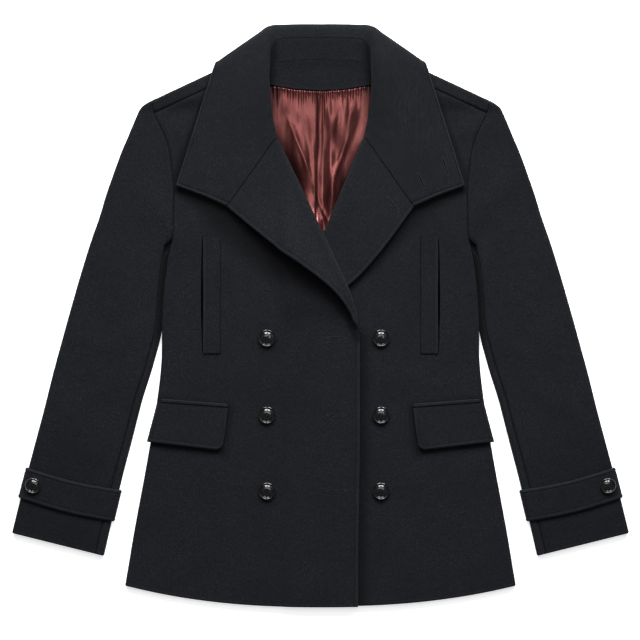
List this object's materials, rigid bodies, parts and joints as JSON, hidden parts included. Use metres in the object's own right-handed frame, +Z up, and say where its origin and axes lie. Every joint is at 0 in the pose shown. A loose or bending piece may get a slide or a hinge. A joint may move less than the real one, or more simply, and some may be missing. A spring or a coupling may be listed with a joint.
{
  "type": "pea coat",
  "caption": "Double-breasted wool pea coat laid flat on its back and buttoned, with a wide turned collar and lapels, flap and welt pockets, cuff straps and a satin lining.",
  "frame": {"origin": "on the surface that the coat lies on, below the middle of its outline", "axes": "+X from the wearer's right sleeve towards the left sleeve, +Y from the hem towards the neck, +Z up from the surface, out of the coat's front"},
  "size_m": [0.801, 0.7584, 0.0274],
  "materials": {
    "melton": "brushed wool melton, near-black navy with pale fibres",
    "collar_melton": "brushed wool melton, near-black navy with pale fibres",
    "satin": "maroon lining satin with a soft sheen",
    "horn": "polished black"
  },
  "bodies": {
    "root": {"back": "melton", "back_neck_facing": "melton", "front_right": "melton", "front_left": "melton", "top_sleeve_right": "melton", "top_sleeve_left": "melton", "under_sleeve_right": "melton", "under_sleeve_left": "melton", "sleeve_strap_right": "melton", "sleeve_strap_left": "melton", "pocket_welt_right": "melton", "pocket_welt_left": "melton", "pocket_flap_right": "melton", "pocket_flap_left": "melton", "pocket_jet_right": "melton", "pocket_jet_left": "melton", "collar_stand": "collar_melton", "collar_fall": "collar_melton", "lapel_facing_right": "collar_melton", "lapel_facing_left": "collar_melton", "back_lining": "satin", "button_right_1": "horn", "button_right_2": "horn", "button_right_3": "horn", "button_left_1": "horn", "button_left_2": "horn", "button_left_3": "horn", "cuff_button_right": "horn", "cuff_button_left": "horn"}
  },
  "joints": []
}
